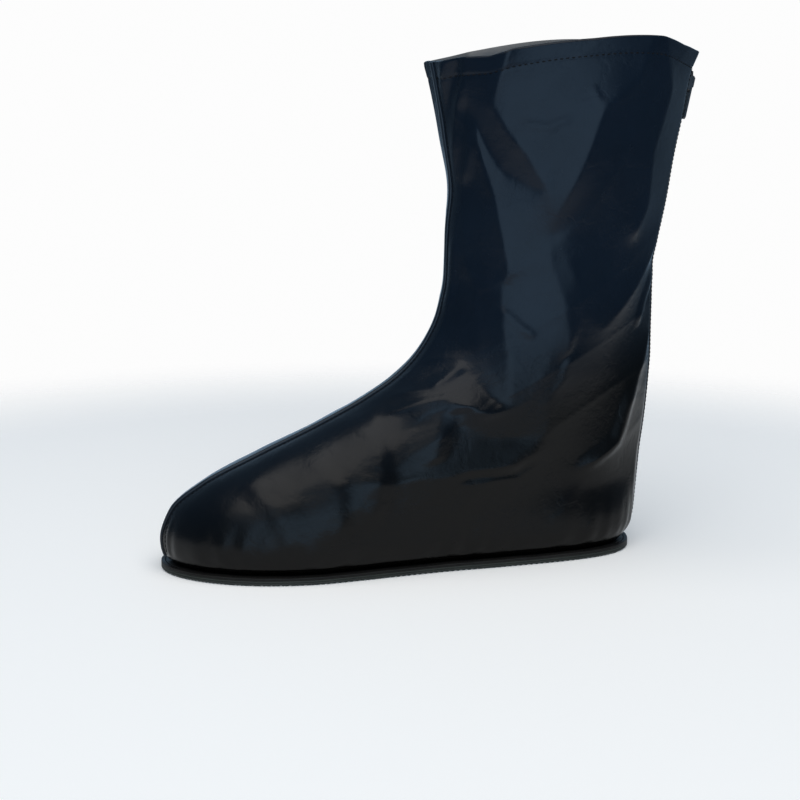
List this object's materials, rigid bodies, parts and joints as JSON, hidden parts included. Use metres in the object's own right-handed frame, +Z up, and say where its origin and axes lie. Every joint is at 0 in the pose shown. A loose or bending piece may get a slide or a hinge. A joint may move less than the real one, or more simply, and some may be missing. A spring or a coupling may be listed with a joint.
{
  "type": "motorcycle rain boot cover",
  "caption": "Pull-on rain cover for a left riding boot: thin coated upper to mid shin, flat ribbed rubber sole, stitched welt, back zip with slider and pull tab.",
  "frame": {"origin": "on the floor under the middle of the sole's length, on the sole's centre line", "axes": "+X from toe to heel, +Y toward the inner side of the left foot, +Z up"},
  "size_m": [0.3431, 0.1082, 0.3211],
  "materials": {
    "sole_rubber": "matte black sheet rubber with a fine raised square grid",
    "welt_fabric": "black coated nylon edge, stitched flat",
    "upper_fabric": "thin black nylon with a semi-gloss waterproof coat, soft folds",
    "seam_fabric": "black coated nylon, turned and stitched",
    "zip_coil": "black nylon coil",
    "zip_tape": "black woven tape",
    "zip_metal": "black enamelled zinc"
  },
  "bodies": {
    "cover": {"outsole": "sole_rubber", "welt": "welt_fabric", "upper": "upper_fabric", "front_seam": "seam_fabric", "zip_chain": "zip_coil", "zip_tape_outer": "zip_tape", "zip_tape_inner": "zip_tape", "zip_slider": "zip_metal"},
    "pull_tab": {"zip_pull": "zip_metal"}
  },
  "joints": [
    {"name": "pull_tab_swing", "type": "hinge", "parent": "cover", "child": "pull_tab", "pos_m": [0.18902, 0, 0.29154], "axis": [0, -1, 0], "range_deg": [0, 135]}
  ]
}
